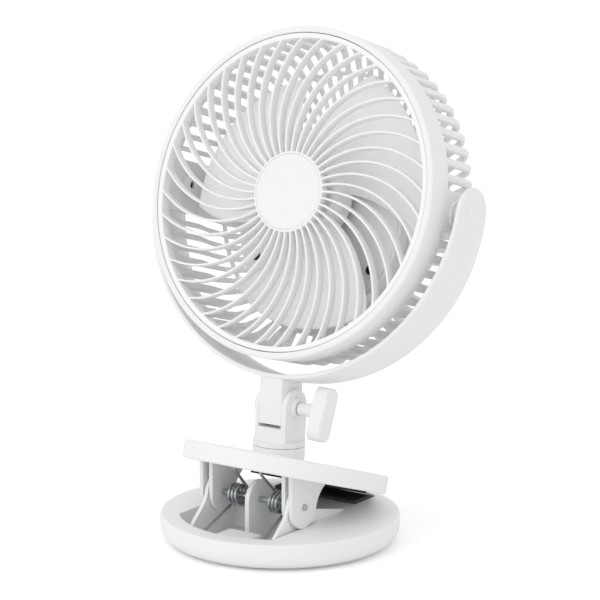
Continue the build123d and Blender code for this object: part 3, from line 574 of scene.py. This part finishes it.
def slotTurn(radius, angle, values):
    # grows evenly from the ring outwards, less a drop that fades to both sides as one wave of a cosine
    near = values["ring"][1]
    drop, place, reach = values["swirlDrop"]
    distance = np.abs((np.degrees(angle) - place + 180) % 360 - 180) / reach
    swirl = values["swirl"] - drop * (1 + np.cos(np.pi * np.clip(distance, 0, 1))) / 2
    return np.radians(swirl) * (radius - near) / (values["outer"] - near)


def barsBetween(slotAngles):
    # the slots on either side of every bar
    following = np.roll(slotAngles, -1)
    following[-1] += 360
    return np.radians(slotAngles), np.radians(following)


def isNarrow(first, second, values):
    # bars between neighbouring slots, unlike the plain patches
    return second - first < 1.2 * 2 * np.pi / values["slots"]


def barPlace(radius, first, second, values):
    # middle and half angle of a bar at a radius, from the turned slots beside it
    first = first + slotTurn(radius, first, values)
    second = second + slotTurn(radius, second, values)
    return (first + second) / 2, (second - first) / 2


def endFlare(distance, reach):
    # a bar grows wider by a quarter circle where it meets the ring or the band
    near = np.clip(1 - distance / reach, 0, 1)
    return reach * (1 - np.sqrt(1 - near ** 2))


def outerBars(first, second, values, faceSteps):
    # straight along the band, a quarter circle over the corner, straight in to the ring; deepest between
    # its ends, and crowned: the outside falls off with the square of the way from its middle line
    outer, back, corner = values["outer"], values["back"], values["corner"]
    front, near = values["slotFront"], values["ring"][1]
    along = front + np.array([-0.6, 0.0, 0.15, 0.4, 0.9, 2.5, 4.5, 8.0, 16.0])
    bend = np.radians(np.linspace(0, 90, 9))
    inward = near + np.array([6.0, 4.0, 2.5, 0.9, 0.4, 0.15, 0.0, -0.6])
    outR = np.concatenate([along * 0 + 1, np.cos(bend), inward * 0])
    outY = np.concatenate([along * 0, np.sin(bend), inward * 0 + 1])
    fromFront = np.concatenate([along - front, np.full(len(bend) + len(inward), outer)])
    fromRing = np.concatenate([np.full(len(along) + len(bend), outer), inward - near])
    grow = np.clip(np.minimum(fromFront, fromRing) / values["deepOver"], 0, 1)
    thick = (values["wall"] + (values["barDepth"] - values["wall"]) * grow * (2 - grow)) / 2
    pathR = np.concatenate([along * 0 + outer, outer - corner + corner * np.cos(bend), inward]) - thick * outR
    pathY = np.concatenate([along, back - corner + corner * np.sin(bend), inward * 0 + back]) - thick * outY
    nearSlot, farSlot = values["outerSlot"]
    slot = nearSlot + (farSlot - nearSlot) * ((pathR - near) / (outer - near))
    flare = sum(endFlare(np.maximum(distance, 0), values["flare"]) for distance in (fromFront, fromRing))
    middle, half = barPlace(pathR[None, :], first[:, None], second[:, None], values)
    width = pathR * half - slot + flare
    side, level, ca, sa = barSection(faceSteps)
    edge = values["edge"]
    crowned = (level > 0) & isNarrow(first, second, values)[:, None, None]
    crown = np.where(crowned, -values["crown"] * side ** 2, 0)
    across = side * (width[:, :, None] - edge) + edge * ca
    height = level * (thick[None, :, None] - edge) + edge * sa + crown
    r = pathR[None, :, None] + height * outR[None, :, None]
    y = pathY[None, :, None] + height * outY[None, :, None]
    angle = middle[:, :, None] + across / pathR[None, :, None]
    return gridPart(placed(r * np.cos(angle), y, r * np.sin(angle), "head"), wrapColumns=True, caps=True)


def innerBars(first, second, values, faceSteps):
    # flat bars from the rim round the pod out to the ring
    thick = values["wall"] / 2
    side, level, ca, sa = barSection(faceSteps)
    first, second = first[:, None, None], second[:, None, None]
    spread = (first + second) / 2 + side * (second - first) / 2
    start = podEdge(spread, values) + values["podRim"][1]
    end = values["ring"][0]
    share = np.array([0.0, 0.04, 0.1, 0.5, 0.9, 0.96, 1.0])[None, :, None]
    middleR = start + (end - start) * share
    fromStart, fromEnd = middleR - start, end - middleR
    reach = np.minimum(values["flare"], (end - start) / 3)
    nearSlot, farSlot = values["innerSlot"][0] * start, values["innerSlot"][1]
    slot = nearSlot + (farSlot - nearSlot) * share
    middle, half = barPlace(middleR, first, second, values)
    width = middleR * half - slot + endFlare(fromStart, reach) + endFlare(fromEnd, reach)
    edge = values["edge"]
    across = side * (width - edge) + edge * ca
    height = level * (thick - edge) + edge * sa
    angle = middle + across / middleR
    r = middleR + values["overlap"] * (np.where(share == 1, 1, 0) - np.where(share == 0, 1, 0))
    y = values["back"] - thick + height + 0 * r
    return gridPart(placed(r * np.cos(angle), y, r * np.sin(angle), "head"), wrapColumns=True, caps=True)


def podRim(values):
    # thin flat rim that follows the pod's circle round the fan axis
    angle = np.linspace(0, 2 * np.pi, 256, endpoint=False)[:, None]
    thick, (near, far) = values["wall"], values["podRim"]
    section = roundedOutline([(near, -thick), (far, -thick), (far, 0.0), (near, 0.0)],
                             [0.3, 0.5, 0.5, 0.3], 3)
    r = podEdge(angle, values) + section[None, :, 0]
    y = values["back"] + section[None, :, 1] + 0 * r
    return gridPart(placed(r * np.cos(angle), y, r * np.sin(angle), "head"), wrapRows=True, wrapColumns=True)


def buildRearHousing(values):
    outer, wall, back = values["outer"], values["wall"], values["back"]
    inner, slotFront = outer - wall, values["slotFront"]
    lip, lipFront, lipBack = values["lip"]
    step, stepBack = values["step"]
    band = roundedOutline([(lip, lipFront), (outer, lipFront), (outer, slotFront), (inner, slotFront),
                           (inner, stepBack), (step, stepBack), (step, lipBack), (lip, lipBack)],
                          [0.35, 1.3, 0.3, 0.3, 0.8, 0.4, 0.3, 0.2], 6)
    near, far = values["ring"]
    ring = roundedOutline([(near, back - wall), (far, back - wall), (far, back), (near, back)], 0.5, 4)
    angles = (np.arange(values["slots"]) + values["phase"]) * 360 / values["slots"]
    rightPatch, leftPatch = values["patch"]
    fromRight, fromLeft = (angles + 180) % 360 - 180, angles % 360 - 180
    outerSlots = angles[((fromRight < rightPatch[0]) | (fromRight > rightPatch[1]))
                        & ((fromLeft < leftPatch[0]) | (fromLeft > leftPatch[1]))]
    innerSlots = angles[near - podEdge(np.radians(angles), values) - values["podRim"][1] > values["shortBar"]]
    parts = [lathe(band, "head", 256), lathe(ring, "head", 256), podRim(values)]
    for maker, slots in ((outerBars, outerSlots), (innerBars, innerSlots)):
        first, second = barsBetween(slots)
        narrow = isNarrow(first, second, values)
        parts.append(maker(first[narrow], second[narrow], values, 3))
        parts.append(maker(first[~narrow], second[~narrow], values, 21))
    radius, skin, centre = values["podRadius"], values["podWall"], (0.0, -values["podDrop"])
    tube = roundedOutline([(radius - skin, values["podFront"]), (radius, values["podFront"]), (radius, back),
                           (radius - skin, back)], [0.3, 1.0, 0.3, 0.3], 5)
    parts.append(lathe(tube, "head", 192, centre))
    bore, side, front = values["post"]
    post = roundedOutline([(bore, front), (side, front), (side, back), (bore, back)], 0.2, 3)
    reach = radius - values["postInset"]
    for angle in np.radians(values["postTurns"]):
        parts.append(lathe(post, "head", 32, (reach * math.cos(angle), reach * math.sin(angle) + centre[1])))
    pivots = []
    for name, rounds in (("hub", [0.2, 0.2, 0.6, 0.2]), ("stud", [0.2, 0.6, 0.2, 0.2])):
        bore, (side, start, end) = values["pivotBore"], values[name]
        pivots.append(roundedOutline([(bore, start), (side, start), (side, end), (bore, end)], rounds, 4))
    for way in (-1, 1):
        parts += [lathe(profile * (1, way), "head", 64, axis="x") for profile in pivots]
    return makePiece("rearHousing", parts, "head", "white_shell", ("rear_housing",), 42)


buildRearHousing(housing)
print("rear housing made")

# rotor: three wide blades on a cup-shaped hub
rotor = {
    "blades": 3, "root": 24.0, "thickness": 1.6,
    "tip": (79.5, 5.5),             # radius at the rear corner, and how much further out the front one lies
    "tipCorner": (2.5, 0.05),       # how far the rear corner is rounded off, over what share across
    "frontEdge": (92.0, 23.0, 1.3), "rearEdge": (12.0, 27.0, 1.0),      # degrees at the root, swing, power
    "depth": (3.2, 4.6), "lean": (14.5, 3.5), "belly": 2.5,
    "hub": (25.0, -16.0, 5.0), "hubWall": 2.2, "hubSkin": 2.0, "bore": 1.5,        # hub: radius, front, back
}


def bladeSurface(values):
    # share of the way out (u) and across (v); the loop goes over the front and back under it. Depth: grows
    # with u squared, less v times a lean that eases outwards, less half a sine wave across times u
    u = (1 - (1 - np.linspace(0, 1, 36)) ** 1.5)[:, None]
    loop = np.linspace(0, 2 * np.pi, 56, endpoint=False)[None, :]
    v = (1 - np.cos(loop)) / 2
    face = np.sign(np.sin(loop)) * np.abs(np.sin(loop)) ** 0.3

    def middleSurface(u, v):
        u = np.maximum(u, 0)        # a step inwards from the root stays at the root
        rearTip, forward = values["tip"]
        cut, cutShare = values["tipCorner"]
        tip = rearTip + forward * v ** 2 - cut * (1 - np.clip(v / cutShare, 0, 1)) ** 2
        radius = values["root"] + (tip - values["root"]) * u
        frontStart, frontSwing, frontPower = values["frontEdge"]
        rearStart, rearSwing, rearPower = values["rearEdge"]
        front = frontStart - frontSwing * u ** frontPower
        rear = rearStart - rearSwing * u ** rearPower
        angle = np.radians(rear + (front - rear) * v)
        rootDepth, tipDepth = values["depth"]
        lean, ease = values["lean"]
        belly = values["belly"] * np.sin(np.pi * v) * u
        depth = rootDepth + tipDepth * u ** 2 - v * (lean - ease * u) - belly
        return np.stack(np.broadcast_arrays(radius * np.cos(angle), depth, radius * np.sin(angle)), -1)

    spot, small = middleSurface(u, v), 1e-4
    outward = middleSurface(u + small, v) - middleSurface(u - small, v)
    across = middleSurface(u, v + small) - middleSurface(u, v - small)
    normal = np.cross(across, outward)
    normal /= np.linalg.norm(normal, axis=-1, keepdims=True) + 1e-12
    taper = np.sqrt(np.clip(1 - np.clip((u - 0.985) / 0.015, 0, 1) ** 2, 0.0001, 1))
    return spot + normal * (face * taper * values["thickness"] / 2)[..., None]


def buildFanBlades(values):
    surface = bladeSurface(values)
    turn = (np.arange(values["blades"]) * 2 * np.pi / values["blades"])[:, None, None]
    x = surface[..., 0] * np.cos(turn) - surface[..., 2] * np.sin(turn)
    z = surface[..., 0] * np.sin(turn) + surface[..., 2] * np.cos(turn)
    y = np.broadcast_to(surface[..., 1], x.shape)
    radius, front, back = values["hub"]
    bore, inner, floor = values["bore"], radius - values["hubWall"], front + values["hubSkin"]
    hub = roundedOutline([(bore, front), (radius, front), (radius, back), (inner, back), (inner, floor),
                          (bore, floor)], [0.2, 3.0, 0.4, 0.4, 1.5, 0.2], 7)
    parts = [gridPart(placed(x, y, z, "head"), wrapColumns=True, caps=True), lathe(hub, "head", 128)]
    return makePiece("fanBlades", parts, "rotor", "blade_plastic", ("fan_blades",), 60)


buildFanBlades(rotor)
print("blades made")

# yoke: half ring with straight arms, round ends and a tongue below
yoke = {
    "outer": 113.5, "inner": 110.6, "shift": 1.3, "halfWidth": 17.7, "endRadius": 16.2, "endRise": 0.9,
    "taperFrom": -45.0, "edge": 1.05, "boss": (2.6, 8.0, 106.0), "bossSink": 0.6,      # bore, radius, face
    "tongue": (8.25, 11.0, 10.3), "tongueRound": 0.2, "footRound": 0.3,     # half width, half depth, foot
    "tongueTop": (17.84, 0.2126),       # its height above the tilt axis, and the fall per mm back
}


def yokeBand(values):
    # along the ring and up the arms, by a rounded section; each end's outline goes round in a half circle
    middle = (values["outer"] + values["inner"]) / 2
    thick, edge = (values["outer"] - values["inner"]) / 2, values["edge"]
    quarter = middle * np.pi / 2
    ring = np.linspace(0, 1, 61) * quarter
    height = np.where(ring < quarter, -middle * np.cos(ring / middle), 0)
    wide, narrow = values["halfWidth"], values["endRadius"]
    taper = np.clip((height - values["taperFrom"]) / (values["endRise"] - values["taperFrom"]), 0, 1)
    half = wide + (narrow - wide) * taper
    bend = np.radians(np.linspace(0, 90, 15))
    inner = narrow - edge
    along = np.concatenate([ring, quarter + values["endRise"] + inner * np.sin(bend)])
    width = np.concatenate([half - edge, inner * np.cos(bend)])
    acrossWay = np.concatenate([ring * 0 + 1, np.cos(bend)])
    alongWay = np.concatenate([ring * 0, np.sin(bend)])
    sign = np.concatenate([-np.ones(len(along) - 1), np.ones(len(along))])
    along, width, acrossWay, alongWay = [
        np.concatenate([part[:0:-1], part])[:, None] for part in (along, width, acrossWay, alongWay)]
    side, level, ca, sa = barSection(9, 5)
    across = side * width + edge * ca * acrossWay
    reach = along + edge * np.abs(ca) * alongWay
    lift = level * (thick - edge) + edge * sa
    turn = np.minimum(reach, quarter) / middle
    x = sign[:, None] * (middle + lift) * np.sin(turn)
    z = np.where(reach < quarter, -(middle + lift) * np.cos(turn), reach - quarter)
    return gridPart(placed(x, values["shift"] + across, z, "head"), wrapColumns=True, caps=True)


def yokeTongue(values):
    # rounded oblong carried up the neck; its back follows a circle about the tilt axis, its foot is flat
    half, deep, foot = values["tongue"]
    small, corner = values["footRound"], values["tongueRound"]
    q = np.linspace(np.pi / 2, 0, 6)
    rise = np.concatenate([np.linspace(-foot + small, 0, 14)[1:], np.linspace(0, 1, 5)[1:]])
    z = np.concatenate([-foot + small * (1 - np.sin(q)), rise])[:, None]
    inset = np.concatenate([small * (1 - np.cos(q)), rise * 0])[:, None]
    rear = np.sqrt(deep ** 2 - np.minimum(z, 0) ** 2)
    side, level, ca, sa = barSection(3, 4)
    x = side * (half - corner - inset) + corner * ca
    middle, reach = (rear - deep) / 2, (rear + deep) / 2
    y = middle + level * (reach - corner - inset) + corner * sa
    high, fall = values["tongueTop"]
    tall = np.where(z > 0, z * (high - fall * y), z)        # above the tilt axis z is a share of the way up
    return gridPart(placed(x, y, tall, "neck"), wrapColumns=True, caps=True)


def buildYoke(values):
    parts = [yokeBand(values), yokeTongue(values)]
    (bore, radius, face), end = values["boss"], values["inner"] + values["bossSink"]
    boss = roundedOutline([(bore, face), (radius, face), (radius, end), (bore, end)], [0.2, 0.6, 0.2, 0.2], 4)
    for side in (-1, 1):
        parts.append(lathe(boss * (1, side), "head", 64, axis="x"))
    return makePiece("yokeRing", parts, "yoke", "white_shell", ("yoke",), 45)


buildYoke(yoke)
print("yoke made")


def softened(node, name, slotName, width, angle=28.0, segments=3):
    # a merged copy of a CAD node whose sharp edges are rounded
    source = frame["nodes"][node]
    mesh = source.data.copy()
    work = bmesh.new()
    work.from_mesh(mesh)
    bmesh.ops.remove_doubles(work, verts=work.verts, dist=2e-6)
    bmesh.ops.dissolve_limit(work, angle_limit=math.radians(0.6), verts=work.verts, edges=work.edges)
    work.to_mesh(mesh)
    work.free()
    piece = finishPiece(name, mesh, source["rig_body"], slotName, (node,), angle)
    bevel = piece.modifiers.new("roundedEdges", "BEVEL")
    bevel.width = width * 0.001
    bevel.segments = segments
    bevel.limit_method = "ANGLE"
    bevel.angle_limit = math.radians(angle)
    bevel.harden_normals = True
    return piece


# edges that the maker's mould rounds, in millimetres
edgeRounds = {
    "base_shell": ("baseShell", "white_shell", 0.45),
    "clip_plate": ("clipPlate", "white_shell", 0.4),
    "clip_under_plate": ("clipUnderPlate", "white_inner", 0.3),
    "neck_fork": ("neckFork", "white_shell", 0.35),
    "thumb_knob": ("thumbKnob", "white_shell", 0.8),
}
for node, (name, slotName, width) in edgeRounds.items():
    softened(node, name, slotName, width)
print("edges rounded")


def buildSpring(side):
    word = "left" if side < 0 else "right"
    node = "torsion_spring_" + word
    mesh = frame["nodes"][node].data.copy()
    piece = finishPiece("springWire" + word.capitalize(), mesh, None, "spring_steel", (node,), 50)
    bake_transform(piece)
    return piece


for side in (-1, 1):
    buildSpring(side)
print("springs made")

# rubber: jaw pads and the round grip under the base
pads = {
    "halfWidth": 30.9, "edge": 0.6, "lowerReach": 68.3,
    "lower": [(37.4, 16.0), (37.4, 20.0), (54.0, 20.0), (62.4, 17.25), (62.4, 16.0)],
    "lowerRounds": [0.3, 0.6, 2.0, 0.8, 0.3],
    "upper": (8.0, 59.3, 58.7, 2.0),        # front, back, radius of the rear edge, thickness
    "upperThin": 0.45,                      # share of its thickness that its two side ends lose
    "grip": (58.0, 0.0, 1.6, 0.5),          # radius, underside, top, rounding
    "rings": (0.25, 4.0),                   # height and pitch of the rings under the grip
}


def endRows(half, edge, steps=5):
    # stations from side to side that crowd at the rounded ends, and how far the outline is drawn in there
    q = np.linspace(np.pi / 2, 0, steps)
    near = -half + edge * (1 - np.sin(q))
    inset = edge * (1 - np.cos(q))
    flat = np.linspace(-half + edge, half - edge, 25)[1:-1]
    return np.concatenate([near, flat, -near[::-1]]), np.concatenate([inset, flat * 0, inset[::-1]])


def buildLowerPad(values):
    # the pad's side outline carried across the jaw; its back corners follow the base's rim
    x, inset = endRows(values["halfWidth"], values["edge"])
    outline = roundedOutline(values["lower"], values["lowerRounds"], 5)
    way = outline.mean(0) - outline
    way /= np.linalg.norm(way, axis=1, keepdims=True)
    y = outline[None, :, 0] + way[None, :, 0] * inset[:, None]
    z = outline[None, :, 1] + way[None, :, 1] * inset[:, None]
    y = np.minimum(y, np.sqrt(values["lowerReach"] ** 2 - x[:, None] ** 2))
    pad = gridPart(placed(x[:, None], y, z, "base"), wrapColumns=True, caps=True)
    # the lower pad wears the lightened rubber, painted light standing in for the light on its front and side
    return makePiece("lowerJawPad", [pad], "base", "pad_rubber_painted_light", ("lower_jaw_pad",), 40)


def buildUpperPad(values):
    # a flat slab under the plate whose rear edge is an arc about the plate's middle
    x, inset = endRows(values["halfWidth"], values["edge"])
    front, back, radius, thick = values["upper"]
    rear = np.minimum(np.sqrt(radius ** 2 - x ** 2), back)[:, None]
    side, level, ca, sa = barSection(9, 4)
    edge, inset = values["edge"], inset[:, None]
    middle, half = (front + rear) / 2, (rear - front) / 2
    y = middle + side * (half - edge - inset) + edge * ca
    z = -thick / 2 + (level * (thick / 2 - edge) + edge * sa) * (1 - values["upperThin"] * inset / edge)
    pad = gridPart(placed(x[:, None], y, z, "plate"), wrapColumns=True, caps=True)
    return makePiece("upperJawPad", [pad], "clip_top", "black_rubber", ("upper_jaw_pad",), 40)


def buildBaseGrip(values):
    # a round pad whose underside has shallow rings: a cosine wave of the radius, as far as the last pitch
    radius, low, high, edge = values["grip"]
    height, pitch = values["rings"]
    r = np.linspace(0, radius - edge, 117)
    ripple = low + height * (1 - np.cos(r * 2 * np.pi / pitch)) / 2 * (r < radius - pitch)
    near = radius - edge - 0.01
    rim = roundedOutline([(near, low), (radius, low), (radius, high), (near, high)],
                         [0.005, edge, 0.1, 0.005], 5)
    profile = np.concatenate([np.stack([r, ripple], -1), rim, [(0.0, high)]])
    grip = lathe(profile, "base", 128, axis="z", closed=False)
    return makePiece("baseGrip", [grip], "base", "black_rubber", ("foot_pads",), 40)


buildLowerPad(pads)
buildUpperPad(pads)
buildBaseGrip(pads)
print("rubber pads made")
